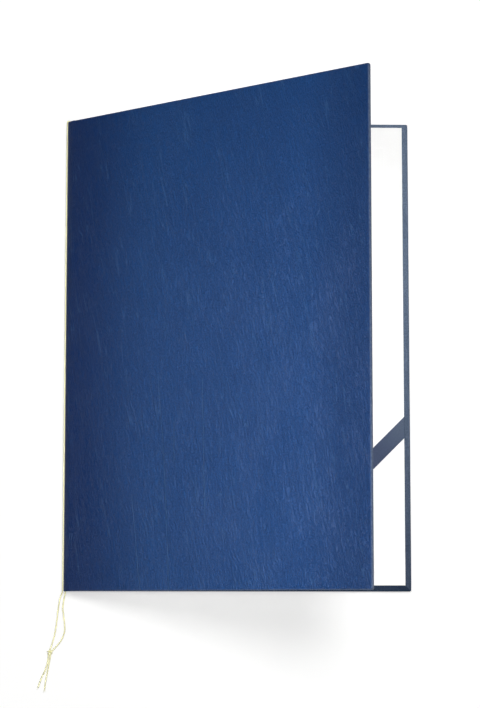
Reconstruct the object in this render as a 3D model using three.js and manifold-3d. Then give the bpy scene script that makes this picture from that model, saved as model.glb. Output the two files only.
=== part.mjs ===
// A diploma cover: two greyboards wrapped in one sheet of leatherette, white linings inside,
// a corner strap for the sheet it holds, and a thin metallic cord looped along the fold.
// Millimetres, +Z up. The back cover lies on the XY plane, the fold is at -X and the head at +Y.
// The origin is the centre of the back cover's underside, and the front cover stands ajar.
import * as THREE from 'three';
import { mergeVertices } from 'three/addons/utils/BufferGeometryUtils.js';
import Module from 'manifold-3d';

const wasm = await Module();
wasm.setup();

// Driving sizes of the cover
const coverHeight = 310;
const coverWidth = 225.5;
const openingAngle = THREE.MathUtils.degToRad(33);

// Thicknesses of the layers
const boardThickness = 2;
const leatheretteThickness = 0.3;
const liningThickness = 0.2;
const strapThickness = 0.25;
const glueLine = 0.03;

// The fold, the edges and what is turned over them
const foldDepth = 2.8;
const hingeGroove = 4.2;
const wrappedEdgeRadius = 0.9;
const boardEdgeRadius = 0.55;
const turnInWidth = 15;
const hingeStripReach = 12;

// How the fold rounds: its outermost line lies a little below the hinge axis, and the curves on
// either side of it leave their ends straight for these lengths
const apexDrop = 0.5;
const lowerFlat = 1.6;
const apexFlatBelow = 1.4;
const apexFlatAbove = 1.7;
const frontFlat = 2.4;

// How far the linings stay inside the cover's edges
const liningHeadMargin = 2.1;
const liningFootMargin = 5;
const liningForeEdgeMargin = 2.8;
const liningSpineMargin = 3;
const pressedStep = 2;

// The corner strap at the foot of the back lining
const strapWidth = 10;
const strapCornerDistance = 103;

// The cord
const cordDiameter = 1;
const cordClearance = 0.05;
const cordSides = 8;
const headBendSegments = 8;
const knotRadius = 1.15;

// Levels of one cover's layers, from the hinge axis down to the outer face
const coverThickness =
  2 * leatheretteThickness + boardThickness + liningThickness + 3 * glueLine;
const closedHalf = coverThickness + strapThickness + 2 * glueLine;
const outerFace = -closedHalf;
const outerSheetTop = outerFace + leatheretteThickness;
const boardBottom = outerSheetTop + glueLine;
const boardTop = boardBottom + boardThickness;
const turnInBottom = boardTop + glueLine;
const turnInTop = turnInBottom + leatheretteThickness;
const liningBottom = turnInTop + glueLine;
const liningTop = liningBottom + liningThickness;
const strapBottom = liningTop + glueLine;
const strapTop = strapBottom + strapThickness;

// Distances from the hinge axis, with the fold's outermost line at -foldDepth
const foreEdge = coverWidth - foldDepth;
const halfHeight = coverHeight / 2;
const wallThickness = leatheretteThickness + glueLine;
const boardForeEdge = foreEdge - wallThickness;
const boardHalfHeight = halfHeight - wallThickness;

const leatherette = new THREE.MeshStandardMaterial({ color: 0x1d4176, roughness: 0.55, metalness: 0 });
const greyboard = new THREE.MeshStandardMaterial({ color: 0x9a948a, roughness: 0.95, metalness: 0 });
const whitePaper = new THREE.MeshStandardMaterial({ color: 0xf4f4f2, roughness: 0.8, metalness: 0 });
const ribbon = new THREE.MeshStandardMaterial({ color: 0x3c5580, roughness: 0.6, metalness: 0 });
const metallicYarn = new THREE.MeshStandardMaterial({ color: 0xd2cc96, roughness: 0.4, metalness: 0.5 });

// Changes between three.js geometry and solids that can be joined and cut
function solidFrom(geometry) {
  const bare = geometry.clone();
  bare.deleteAttribute('normal');
  bare.deleteAttribute('uv');
  const merged = mergeVertices(bare, 1e-5);
  return new wasm.Manifold(
    new wasm.Mesh({
      numProp: 3,
      vertProperties: Float32Array.from(merged.attributes.position.array),
      triVerts: Uint32Array.from(merged.index.array),
    }),
  );
}

function geometryFrom(solid) {
  const mesh = solid.getMesh();
  const geometry = new THREE.BufferGeometry();
  geometry.setAttribute('position', new THREE.BufferAttribute(new Float32Array(mesh.vertProperties), 3));
  geometry.setIndex(new THREE.BufferAttribute(new Uint32Array(mesh.triVerts), 1));
  geometry.computeVertexNormals();
  return geometry;
}

function box(x0, x1, y0, y1, z0, z1) {
  const geometry = new THREE.BoxGeometry(x1 - x0, y1 - y0, z1 - z0);
  return geometry.translate((x0 + x1) / 2, (y0 + y1) / 2, (z0 + z1) / 2);
}

// An outline in the XZ plane, carried along Y from y0 to y1
function alongSpine(shape, y0, y1) {
  const geometry = new THREE.ExtrudeGeometry(shape, { depth: y1 - y0, bevelEnabled: false, curveSegments: 4 });
  return geometry.rotateX(Math.PI / 2).translate(0, y1, 0);
}

// An outline in the YZ plane, carried along X from x0 to x1
function acrossCover(shape, x0, x1) {
  const geometry = new THREE.ExtrudeGeometry(shape, { depth: x1 - x0, bevelEnabled: false, curveSegments: 4 });
  return geometry.rotateX(Math.PI / 2).rotateZ(Math.PI / 2).translate(x0, 0, 0);
}

function roundedRectangle(u0, u1, v0, v1, radius) {
  const shape = new THREE.Shape();
  shape.moveTo(u0 + radius, v0);
  shape.lineTo(u1 - radius, v0);
  shape.absarc(u1 - radius, v0 + radius, radius, -Math.PI / 2, 0);
  shape.lineTo(u1, v1 - radius);
  shape.absarc(u1 - radius, v1 - radius, radius, 0, Math.PI / 2);
  shape.lineTo(u0 + radius, v1);
  shape.absarc(u0 + radius, v1 - radius, radius, Math.PI / 2, Math.PI);
  shape.lineTo(u0, v0 + radius);
  shape.absarc(u0 + radius, v0 + radius, radius, Math.PI, 1.5 * Math.PI);
  return shape;
}

// A slab whose long edges are rounded on all four sides
function roundedSlab(x0, x1, halfLength, z0, z1, radius) {
  const lengthways = solidFrom(alongSpine(roundedRectangle(x0, x1, z0, z1, radius), -halfLength, halfLength));
  const crossways = solidFrom(acrossCover(roundedRectangle(-halfLength, halfLength, z0, z1, radius), x0, x1));
  return lengthways.intersect(crossways);
}

// One cover in its own frame: the hinge axis is the origin line and the outer face is underneath

function boardGeometry() {
  return geometryFrom(
    roundedSlab(hingeGroove, boardForeEdge, boardHalfHeight, boardBottom, boardTop, boardEdgeRadius),
  );
}

// The leatherette round one board: the outer sheet, three wrapped edges and their turn-ins
function coveringGeometry() {
  const hidden = 2 * wrappedEdgeRadius;
  const wrapped = roundedSlab(
    hingeGroove - hidden, foreEdge, halfHeight, outerFace, turnInTop, wrappedEdgeRadius,
  );
  const boardSpace = roundedSlab(
    hingeGroove - 2 * hidden, boardForeEdge + glueLine, boardHalfHeight + glueLine,
    outerSheetTop, turnInBottom, boardEdgeRadius,
  );
  const uncovered = solidFrom(
    box(
      hingeGroove - 2 * hidden, foreEdge - turnInWidth, turnInWidth - halfHeight, halfHeight - turnInWidth,
      boardTop, turnInTop + hidden,
    ),
  );
  const beyondBoard = solidFrom(
    box(
      hingeGroove - 2 * hidden, hingeGroove, -coverHeight, coverHeight,
      outerFace - hidden, turnInTop + hidden,
    ),
  );
  return geometryFrom(wrapped.subtract(boardSpace).subtract(uncovered).subtract(beyondBoard));
}

// A sheet pressed down inside the frame of turn-ins: nested rectangles on its upper and lower side
function liningGeometry(headMargin, footMargin) {
  const inside = {
    x0: hingeGroove + hingeStripReach + pressedStep,
    x1: foreEdge - turnInWidth - pressedStep,
    y0: turnInWidth - halfHeight + pressedStep,
    y1: halfHeight - turnInWidth - pressedStep,
  };
  const sunk = leatheretteThickness;
  const rings = [
    {
      x0: hingeGroove + liningSpineMargin,
      x1: foreEdge - liningForeEdgeMargin,
      y0: footMargin - halfHeight,
      y1: halfHeight - headMargin,
      z: liningBottom,
    },
    {
      x0: inside.x0 - pressedStep,
      x1: inside.x1 + pressedStep,
      y0: inside.y0 - pressedStep,
      y1: inside.y1 + pressedStep,
      z: liningBottom,
    },
    { ...inside, z: liningBottom - sunk },
  ];
  const positions = [];
  for (const lift of [0, liningThickness]) {
    for (const ring of rings) {
      const z = ring.z + lift;
      positions.push(ring.x0, ring.y0, z, ring.x1, ring.y0, z, ring.x1, ring.y1, z, ring.x0, ring.y1, z);
    }
  }
  const corner = (layer, ring, k) => (layer * rings.length + ring) * 4 + (k % 4);
  const indices = [];
  const quad = (a, b, c, d) => indices.push(a, b, c, a, c, d);
  const last = rings.length - 1;
  for (let k = 0; k < 4; k += 1) {
    for (let ring = 0; ring < last; ring += 1) {
      quad(corner(1, ring, k), corner(1, ring, k + 1), corner(1, ring + 1, k + 1), corner(1, ring + 1, k));
      quad(corner(0, ring, k), corner(0, ring + 1, k), corner(0, ring + 1, k + 1), corner(0, ring, k + 1));
    }
    quad(corner(0, 0, k), corner(0, 0, k + 1), corner(1, 0, k + 1), corner(1, 0, k));
  }
  quad(corner(1, last, 0), corner(1, last, 1), corner(1, last, 2), corner(1, last, 3));
  quad(corner(0, last, 0), corner(0, last, 3), corner(0, last, 2), corner(0, last, 1));
  const geometry = new THREE.BufferGeometry();
  geometry.setAttribute('position', new THREE.Float32BufferAttribute(positions, 3));
  geometry.setIndex(indices);
  geometry.computeVertexNormals();
  return geometry;
}

// A band of strap across the foot corner, bent down over the lining's two edges
function strapGeometry() {
  const edgeX = foreEdge - liningForeEdgeMargin;
  const edgeY = liningFootMargin - halfHeight;
  const overhang = glueLine + strapThickness;
  const halfLeg = strapWidth / Math.SQRT2;
  const near = strapCornerDistance - halfLeg;
  const far = strapCornerDistance + halfLeg;
  const outline = new THREE.Shape([
    new THREE.Vector2(edgeX + overhang, edgeY + near),
    new THREE.Vector2(edgeX + overhang, edgeY + far),
    new THREE.Vector2(edgeX, edgeY + far),
    new THREE.Vector2(edgeX - far, edgeY),
    new THREE.Vector2(edgeX - far, edgeY - overhang),
    new THREE.Vector2(edgeX - near, edgeY - overhang),
    new THREE.Vector2(edgeX - near, edgeY),
    new THREE.Vector2(edgeX, edgeY + near),
  ]);
  const band = new THREE.ExtrudeGeometry(outline, { depth: strapThickness, bevelEnabled: false });
  band.translate(0, 0, strapBottom);
  const bendFloor = turnInTop + glueLine;
  const foreEdgeBend = box(
    edgeX + glueLine, edgeX + overhang, edgeY + near, edgeY + far, bendFloor, strapTop,
  );
  const footBend = box(
    edgeX - far, edgeX - near, edgeY - overhang, edgeY - glueLine, bendFloor, strapTop,
  );
  return geometryFrom(solidFrom(band).add(solidFrom(foreEdgeBend)).add(solidFrom(footBend)));
}

// The fold, drawn in the XZ plane round the hinge axis

// Carries a point of the closed front cover to where it stands when ajar
function onFrontCover(x, depth) {
  const u = x * Math.cos(openingAngle) - -depth * Math.sin(openingAngle);
  const v = x * Math.sin(openingAngle) + -depth * Math.cos(openingAngle);
  return new THREE.Vector2(u, v);
}

const grooveEnd = hingeGroove - glueLine;
const bendSegments = 10;

// The outside of the fold: flat under the hinge, round its outermost line, and up to the front board
function outerFoldLine() {
  const apex = new THREE.Vector2(-foldDepth, -apexDrop);
  const lower = new THREE.CubicBezierCurve(
    new THREE.Vector2(0, outerFace),
    new THREE.Vector2(-lowerFlat, outerFace),
    new THREE.Vector2(-foldDepth, -apexDrop - apexFlatBelow),
    apex,
  );
  const upper = new THREE.CubicBezierCurve(
    apex,
    new THREE.Vector2(-foldDepth, -apexDrop + apexFlatAbove),
    onFrontCover(grooveEnd - frontFlat, outerFace),
    onFrontCover(grooveEnd, outerFace),
  );
  return [
    new THREE.Vector2(grooveEnd, outerFace),
    ...lower.getPoints(bendSegments),
    ...upper.getPoints(bendSegments).slice(1),
  ];
}

// Moves a line of points towards its right-hand side
function offsetLine(points, depth) {
  const rightOf = (from, to) => {
    const along = to.clone().sub(from).normalize();
    return new THREE.Vector2(along.y, -along.x);
  };
  return points.map((point, i) => {
    const before = i > 0 ? rightOf(points[i - 1], point) : rightOf(point, points[i + 1]);
    const after = i < points.length - 1 ? rightOf(point, points[i + 1]) : before;
    const middle = before.clone().add(after).normalize();
    return point.clone().addScaledVector(middle, depth / middle.dot(before));
  });
}

function bandShape(points, from, to) {
  return new THREE.Shape([...offsetLine(points, from), ...offsetLine(points, to).reverse()]);
}

// The line that a second layer in the fold lies on, up over both boards' edges
function innerFoldLine(reach) {
  const onOuterSheet = offsetLine(outerFoldLine(), wallThickness).slice(1, -1);
  const ledge = turnInBottom;
  const start = reach > 0
    ? [new THREE.Vector2(grooveEnd + reach, ledge), new THREE.Vector2(grooveEnd, ledge)]
    : [new THREE.Vector2(grooveEnd, turnInTop)];
  const end = reach > 0
    ? [onFrontCover(grooveEnd, ledge), onFrontCover(grooveEnd + reach, ledge)]
    : [onFrontCover(grooveEnd, turnInTop)];
  return [
    ...start,
    new THREE.Vector2(grooveEnd, boardBottom),
    ...onOuterSheet,
    onFrontCover(grooveEnd, boardBottom),
    ...end,
  ];
}

// The leatherette between the boards, doubled at the head and foot where it is turned in
function foldCoveringGeometry() {
  const outerLine = outerFoldLine();
  const climbingLine = innerFoldLine(0);
  let fold = solidFrom(alongSpine(bandShape(outerLine, 0, leatheretteThickness), -halfHeight, halfHeight));
  const doubled = bandShape(outerLine, 0, wallThickness + leatheretteThickness / 2);
  const turnedIn = bandShape(climbingLine, 0, leatheretteThickness);
  for (const y0 of [-halfHeight, halfHeight - turnInWidth]) {
    const y1 = y0 + turnInWidth;
    fold = fold.add(solidFrom(alongSpine(doubled, y0, y1))).add(solidFrom(alongSpine(turnedIn, y0, y1)));
  }
  return geometryFrom(fold);
}

// The strip of leatherette that finishes the inside of the fold, from board to board
function hingeStripGeometry() {
  const end = halfHeight - turnInWidth - glueLine;
  return alongSpine(bandShape(innerFoldLine(hingeStripReach), 0, leatheretteThickness), -end, end);
}

// The cord. Heights are above the surface under the cover, X is from the fold's outermost line,
// and Y is from the foot.
const cordRadius = cordDiameter / 2;
const outerRunX = -cordRadius - cordClearance;
const innerRunX = 2 * leatheretteThickness + glueLine + cordClearance + cordRadius;
const runHeight = closedHalf - apexDrop;

const outerStrand = [
  [outerRunX, 8, runHeight],
  [-0.6, 3, 2.7],
  [-0.8, -0.7, 2.6],
  [-1.9, -3.2, 2.2],
  [-2.7, -6.5, 1.5],
  [-3.3, -10, 0.9],
  [-3.8, -14, 0.58],
  [-4.3, -19, 0.52],
  [-5.0, -24.1, 0.52],
  [-6.0, -29.5, 0.56],
  [-7.4, -34.5, 0.8],
  [-8.9, -38.7, 1.2],
];
const innerStrand = [
  [innerRunX, 6, runHeight],
  [1.22, 2, 2.7],
  [1.12, -0.9, 2.5],
  [0.3, -5, 1.6],
  [-0.5, -10.7, 0.8],
  [0.1, -16, 0.54],
  [0.7, -21.3, 0.52],
  [0.9, -24.9, 0.52],
  [0.0, -28.4, 0.52],
  [-1.7, -32.0, 0.55],
  [-4.6, -35.6, 0.8],
  [-7.6, -38.9, 1.2],
];
const longTail = [
  [-9.0, -39.9, 1.2],
  [-9.5, -42, 0.8],
  [-10.2, -46.5, 0.54],
  [-11.7, -51.2, 0.52],
  [-13.4, -54.7, 0.52],
  [-14.8, -58.3, 0.52],
  [-15.9, -61.5, 0.52],
];
const shortTail = [
  [-8.0, -39.9, 1.2],
  [-8.3, -42, 0.8],
  [-9.1, -46.9, 0.54],
  [-10.3, -53.3, 0.52],
  [-11.2, -58.3, 0.52],
  [-11.8, -62.9, 0.52],
];
const knotCentre = [-8.4, -39.3, 1.25];

const cordSection = new THREE.Shape(
  Array.from({ length: cordSides }, (_, k) => {
    const angle = (2 * Math.PI * (k + 0.5)) / cordSides;
    return new THREE.Vector2(cordRadius * Math.cos(angle), cordRadius * Math.sin(angle));
  }),
);

// A curve that is sampled at its own points, close together in a bend and far apart on a straight
class CordRoute extends THREE.CatmullRomCurve3 {
  getUtoTmapping(share) {
    return share;
  }
}

function tubeThrough(points) {
  const inFrame = points.map(([x, y, z]) => new THREE.Vector3(x - coverWidth / 2, y - halfHeight, z));
  const steps = points.length - 1;
  return solidFrom(
    new THREE.ExtrudeGeometry(cordSection, { steps, bevelEnabled: false, extrudePath: new CordRoute(inFrame) }),
  );
}

// From the knot up the outside of the fold, over its head edge, and down the inside to the knot
function cordGeometry() {
  const bendRadius = (innerRunX - outerRunX) / 2;
  const bendCentre = (innerRunX + outerRunX) / 2;
  const headBend = Array.from({ length: headBendSegments + 1 }, (_, k) => {
    const angle = Math.PI * (1 - k / headBendSegments);
    return [
      bendCentre + bendRadius * Math.cos(angle),
      coverHeight + bendRadius * Math.sin(angle),
      runHeight,
    ];
  });
  const loop = tubeThrough([...[...outerStrand].reverse(), ...headBend, ...innerStrand]);
  const knot = new THREE.SphereGeometry(knotRadius, 12, 8);
  knot.scale(1.1, 1.35, 0.95);
  knot.translate(knotCentre[0] - coverWidth / 2, knotCentre[1] - halfHeight, knotCentre[2]);
  return geometryFrom(
    loop.add(tubeThrough(longTail)).add(tubeThrough(shortTail)).add(solidFrom(knot)),
  );
}

function part(name, geometry, material) {
  const mesh = new THREE.Mesh(geometry, material);
  mesh.name = name;
  return mesh;
}

const backCover = new THREE.Group();
backCover.add(
  part('back_board', boardGeometry(), greyboard),
  part('back_covering', coveringGeometry(), leatherette),
  part('fold_covering', foldCoveringGeometry(), leatherette),
  part('hinge_strip', hingeStripGeometry(), leatherette),
  part('back_lining', liningGeometry(liningHeadMargin, liningFootMargin), whitePaper),
  part('corner_strap', strapGeometry(), ribbon),
);

// The front cover is the same build turned over, so its head and foot change places
const frontCover = new THREE.Group();
frontCover.rotation.x = Math.PI;
frontCover.add(
  part('front_board', boardGeometry(), greyboard),
  part('front_covering', coveringGeometry(), leatherette),
  part('front_lining', liningGeometry(liningFootMargin, liningHeadMargin), whitePaper),
);
const opened = new THREE.Group();
opened.rotation.y = -openingAngle;
opened.add(frontCover);

const aroundHinge = new THREE.Group();
aroundHinge.position.set(foldDepth - coverWidth / 2, 0, closedHalf);
aroundHinge.add(backCover, opened);

const diplomaCover = new THREE.Group();
diplomaCover.add(aroundHinge, part('cord', cordGeometry(), metallicYarn));

export default diplomaCover;
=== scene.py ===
"""A diploma cover standing ajar: two boards wrapped in one sheet of blue leatherette, white
linings, a corner strap for the sheet it holds, and a thin metallic cord looped along the fold."""
import math
import random

import bmesh
import bpy
from mathutils import Euler, Matrix, Vector


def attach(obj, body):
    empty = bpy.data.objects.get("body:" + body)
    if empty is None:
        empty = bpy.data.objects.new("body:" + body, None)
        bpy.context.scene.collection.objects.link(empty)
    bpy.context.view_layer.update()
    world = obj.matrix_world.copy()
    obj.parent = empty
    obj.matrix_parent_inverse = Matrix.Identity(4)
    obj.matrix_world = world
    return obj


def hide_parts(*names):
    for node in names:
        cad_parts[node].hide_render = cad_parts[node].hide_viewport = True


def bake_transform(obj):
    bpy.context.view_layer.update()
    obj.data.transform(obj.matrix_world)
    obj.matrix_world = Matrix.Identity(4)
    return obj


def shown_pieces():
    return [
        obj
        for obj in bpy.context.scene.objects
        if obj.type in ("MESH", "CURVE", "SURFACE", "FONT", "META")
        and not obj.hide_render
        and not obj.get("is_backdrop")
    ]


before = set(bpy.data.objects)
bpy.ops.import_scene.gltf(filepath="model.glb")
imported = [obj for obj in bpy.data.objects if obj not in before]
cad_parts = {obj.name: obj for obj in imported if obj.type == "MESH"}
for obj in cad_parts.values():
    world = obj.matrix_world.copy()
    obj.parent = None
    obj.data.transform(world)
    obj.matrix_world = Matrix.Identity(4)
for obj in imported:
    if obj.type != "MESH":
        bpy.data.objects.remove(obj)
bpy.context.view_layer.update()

MM = 0.001

# The camera
# It hangs almost straight above the cover, a little towards the foot, and looks down past the
# fold. The lens is shifted so that the cover stands where the photograph has it.
CAMERA_PLACE = (-16.55, -162.8, 1057.7)
CAMERA_TURN = (5.046, -0.974, 0.030)
LENS = 82.56
LENS_SHIFT = 0.15
SENSOR_WIDTH = 36
NEAREST = 0.05
FARTHEST = 50

camera_data = bpy.data.cameras.new("Camera")
camera_data.lens = LENS
camera_data.sensor_width = SENSOR_WIDTH
camera_data.shift_y = LENS_SHIFT
camera_data.clip_start = NEAREST
camera_data.clip_end = FARTHEST
camera = bpy.data.objects.new("Camera", camera_data)
camera.location = Vector(CAMERA_PLACE) * MM
camera.rotation_euler = Euler([math.radians(angle) for angle in CAMERA_TURN])
bpy.context.scene.collection.objects.link(camera)
bpy.context.scene.camera = camera

# The cord
# A thin limp cord of three plies of metallic yarn. It is laid round the fold, down its outside
# and back up its inside, and its two ends are tied in one small knot below the foot.
# X is from the fold's outermost line, Y from the foot and Z from the table, as in the solids.
COVER_WIDTH = 225.5
COVER_HEIGHT = 310
CORD_DIAMETER = 1.0
OUTER_RUN_X = -0.55
INNER_RUN_X = 1.18
RUN_HEIGHT = 2.7
RUN_STEP = 20
RING_SPACING = 0.45
YARN_PLIES = 3
PLY_DEPTH = 0.14
YARN_TURNS_PER_METRE = 300.0
YARN_SIDES = 12

OUTER_STRAND = [
    (-0.6, 3, 2.7),
    (-0.8, -0.7, 2.6),
    (-1.9, -3.2, 2.2),
    (-2.7, -6.5, 1.5),
    (-3.3, -10, 0.9),
    (-3.8, -14, 0.58),
    (-4.3, -19, 0.58),
    (-5.0, -24.1, 0.58),
    (-6.0, -29.5, 0.6),
    (-7.4, -34.5, 0.8),
    (-8.9, -38.7, 1.2),
    (-9.0, -39.9, 1.2),
    (-9.5, -42, 0.8),
    (-10.2, -46.5, 0.59),
    (-11.7, -51.2, 0.58),
    (-13.4, -54.7, 0.58),
    (-14.8, -58.3, 0.58),
    (-15.9, -61.5, 0.58),
]
INNER_STRAND = [
    (1.22, 2, 2.7),
    (1.12, -0.9, 2.5),
    (0.3, -5, 1.6),
    (-0.5, -10.7, 0.8),
    (0.1, -16, 0.59),
    (0.7, -21.3, 0.58),
    (0.9, -24.9, 0.58),
    (0.0, -28.4, 0.58),
    (-1.7, -32.0, 0.6),
    (-4.6, -35.6, 0.8),
    (-7.6, -38.9, 1.2),
    (-8.0, -39.9, 1.2),
    (-8.3, -42, 0.8),
    (-9.1, -46.9, 0.59),
    (-10.3, -53.3, 0.58),
    (-11.2, -58.3, 0.58),
    (-11.8, -62.9, 0.58),
]
KNOT_CENTRE = (-8.4, -39.4, 1.25)


def from_fold(point):
    """A point that is measured from the fold and the foot, in the frame, in metres."""
    x, y, z = point
    return Vector((x - COVER_WIDTH / 2, y - COVER_HEIGHT / 2, z)) * MM


def smooth_route(points, spacing):
    """A smooth line through the points, with a point about every spacing."""
    points = [Vector(point) for point in points]
    ends = [2 * points[0] - points[1]] + points + [2 * points[-1] - points[-2]]
    route = []
    for before, start, end, after in zip(ends, ends[1:], ends[2:], ends[3:]):
        reach = (end - start).length
        leave = (end - before) * (reach / ((end - start).length + (start - before).length))
        arrive = (after - start) * (reach / ((end - start).length + (after - end).length))
        steps = max(1, round(reach / spacing))
        for step in range(steps):
            t = step / steps
            route.append(
                start * (2 * t**3 - 3 * t**2 + 1)
                + leave * (t**3 - 2 * t**2 + t)
                + end * (3 * t**2 - 2 * t**3)
                + arrive * (t**3 - t**2)
            )
    return route + [points[-1]]


def yarn_tree():
    """Turns the edges of a mesh into plied yarn: a lobed section that twists along the way."""
    tree = bpy.data.node_groups.new("plied_yarn", "GeometryNodeTree")
    face = tree.interface
    face.new_socket("Geometry", in_out="INPUT", socket_type="NodeSocketGeometry")
    usual_values = {
        "Radius": CORD_DIAMETER * MM / 2,
        "Plies": float(YARN_PLIES),
        "Ply depth": PLY_DEPTH,
        "Turns per metre": YARN_TURNS_PER_METRE,
    }
    for name, value in usual_values.items():
        socket = face.new_socket(name, in_out="INPUT", socket_type="NodeSocketFloat")
        socket.default_value = value
    sides = face.new_socket("Sides", in_out="INPUT", socket_type="NodeSocketInt")
    sides.default_value = YARN_SIDES
    face.new_socket("Yarn", in_out="INPUT", socket_type="NodeSocketMaterial")
    face.new_socket("Geometry", in_out="OUTPUT", socket_type="NodeSocketGeometry")
    given = tree.nodes.new("NodeGroupInput").outputs
    result = tree.nodes.new("NodeGroupOutput").inputs

    def add(kind, sockets, **settings):
        node = tree.nodes.new(kind)
        for name, setting in settings.items():
            setattr(node, name, setting)
        for key, value in sockets.items():
            if isinstance(value, bpy.types.NodeSocket):
                tree.links.new(value, node.inputs[key])
            else:
                node.inputs[key].default_value = value
        return node.outputs

    def reckon(operation, *values):
        return add("ShaderNodeMath", dict(enumerate(values)), operation=operation)[0]

    line = add("GeometryNodeMeshToCurve", {"Mesh": given["Geometry"]})["Curve"]
    along = add("GeometryNodeSplineParameter", {})["Length"]
    line = add(
        "GeometryNodeStoreNamedAttribute",
        {"Geometry": line, "Name": "along", "Value": along},
        data_type="FLOAT", domain="POINT",
    )["Geometry"]
    twist = reckon("MULTIPLY", along, reckon("MULTIPLY", given["Turns per metre"], 2 * math.pi))
    line = add("GeometryNodeSetCurveTilt", {"Curve": line, "Tilt": twist})["Curve"]
    section = add(
        "GeometryNodeCurvePrimitiveCircle",
        {"Resolution": given["Sides"], "Radius": 1.0},
    )["Curve"]
    place = add("GeometryNodeInputPosition", {})["Position"]
    axes = add("ShaderNodeSeparateXYZ", {"Vector": place})
    around = reckon("ARCTAN2", axes["Y"], axes["X"])
    section = add(
        "GeometryNodeStoreNamedAttribute",
        {"Geometry": section, "Name": "around", "Value": around},
        data_type="FLOAT", domain="POINT",
    )["Geometry"]
    ply_wave = reckon("COSINE", reckon("MULTIPLY", around, given["Plies"]))
    lobe = reckon("MULTIPLY", ply_wave, given["Ply depth"])
    reach = reckon("MULTIPLY", reckon("ADD", lobe, 1.0), given["Radius"])
    bulged = add("ShaderNodeVectorMath", {"Vector": place, "Scale": reach}, operation="SCALE")["Vector"]
    section = add("GeometryNodeSetPosition", {"Geometry": section, "Position": bulged})["Geometry"]
    yarn = add(
        "GeometryNodeCurveToMesh",
        {"Curve": line, "Profile Curve": section, "Fill Caps": True},
    )["Mesh"]
    smooth = add("GeometryNodeSetShadeSmooth", {"Geometry": yarn})["Geometry"]
    whole = add("GeometryNodeRealizeInstances", {"Geometry": smooth})["Geometry"]
    dressed = add("GeometryNodeSetMaterial", {"Geometry": whole, "Material": given["Yarn"]})["Geometry"]
    tree.links.new(dressed, result["Geometry"])
    return tree


class Signal:
    """An output of a material's nodes. Sums and products with it add Math nodes."""

    def __init__(self, finish, socket):
        self.finish = finish
        self.socket = socket

    def reckon(self, operation, *values):
        return self.finish.node("ShaderNodeMath", {"operation": operation}, dict(enumerate(values)))

    def __add__(self, other):
        return self.reckon("ADD", self, other)

    def __sub__(self, other):
        return self.reckon("SUBTRACT", self, other)

    def __rsub__(self, other):
        return self.reckon("SUBTRACT", other, self)

    def __mul__(self, other):
        return self.reckon("MULTIPLY", self, other)

    def __abs__(self):
        return self.reckon("ABSOLUTE", self)

    __radd__ = __add__
    __rmul__ = __mul__

    def higher(self, other):
        return self.reckon("MAXIMUM", self, other)

    def sine(self):
        return self.reckon("SINE", self)

    def between(self, low, high):
        """0 below low and 1 above high, and smooth between them."""
        return self.finish.node(
            "ShaderNodeMapRange",
            {"interpolation_type": "SMOOTHSTEP"},
            {"Value": self, "From Min": low, "From Max": high},
        )


class Finish:
    """One material of the cover, with the surface's even values set on its shader."""

    FIRST_COLOUR = 6
    SECOND_COLOUR = 7
    MIXED_COLOUR = 2
    ATTRIBUTE_VALUE = 2

    def __init__(self, name, even_values):
        self.material = bpy.data.materials.new(name)
        self.material.use_nodes = True
        self.tree = self.material.node_tree
        self.surface = self.tree.nodes["Principled BSDF"]
        for socket, value in even_values.items():
            self.surface.inputs[socket].default_value = value

    def node(self, kind, settings, sockets, output=0):
        node = self.tree.nodes.new(kind)
        for name, setting in settings.items():
            setattr(node, name, setting)
        for key, value in sockets.items():
            if isinstance(value, Signal):
                self.tree.links.new(value.socket, node.inputs[key])
            else:
                node.inputs[key].default_value = value
        return Signal(self, node.outputs[output])

    def attribute(self, name):
        """A number that the mesh keeps at each of its points."""
        return self.node("ShaderNodeAttribute", {"attribute_name": name}, {}, self.ATTRIBUTE_VALUE)

    def axis(self, place, number):
        """One coordinate of a place."""
        return self.node("ShaderNodeSeparateXYZ", {}, {"Vector": place}, number)

    def mix(self, first, second, share):
        """From the first colour to the second."""
        return self.node(
            "ShaderNodeMix",
            {"data_type": "RGBA"},
            {"Factor": share, self.FIRST_COLOUR: first, self.SECOND_COLOUR: second},
            self.MIXED_COLOUR,
        )

    def feed(self, socket, signal):
        self.tree.links.new(signal.socket, self.surface.inputs[socket])

    def raise_by(self, height, depth):
        """Bumps the surface by the height, which is from 0 to 1, times the depth in metres."""
        self.feed("Normal", self.node("ShaderNodeBump", {}, {"Height": height, "Distance": depth}))


yarn_finish = Finish("metallic_yarn", {"Specular IOR Level": 0.5})
yarn_along = yarn_finish.attribute("along")
yarn_around = yarn_finish.attribute("around")
FILAMENTS_PER_TURN = 9
YARN_SLANT = 5200
YARN_SHADE = (0.60, 0.57, 0.25, 1)
YARN_SHINE = (0.97, 0.95, 0.64, 1)
FILAMENT_DEPTH = 0.00003
# The plies' crowns are painted lighter and the grooves between them darker, a painted highlight and
# painted shade; the filaments and the speckle vary the yarn's own tone
ply_crown_highlight = (yarn_around * YARN_PLIES + math.pi / 2).sine() * 0.5 + 0.5
filament = (yarn_around * FILAMENTS_PER_TURN + yarn_along * YARN_SLANT).sine() * 0.5 + 0.5
yarn_place = yarn_finish.node("ShaderNodeTexCoord", {}, {}, 3)
yarn_speckle = yarn_finish.node(
    "ShaderNodeTexNoise", {}, {"Vector": yarn_place, "Scale": 1800.0, "Detail": 2.0}
)
yarn_tone_and_highlight = ply_crown_highlight * 0.45 + filament * 0.3 + yarn_speckle * 0.25
yarn_finish.feed("Base Color", yarn_finish.mix(YARN_SHADE, YARN_SHINE, yarn_tone_and_highlight))
yarn_finish.feed("Roughness", 0.55 - yarn_tone_and_highlight * 0.25)
yarn_finish.feed("Metallic", filament * 0.15)
yarn_finish.raise_by(filament, FILAMENT_DEPTH)

plied_yarn = yarn_tree()


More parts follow.
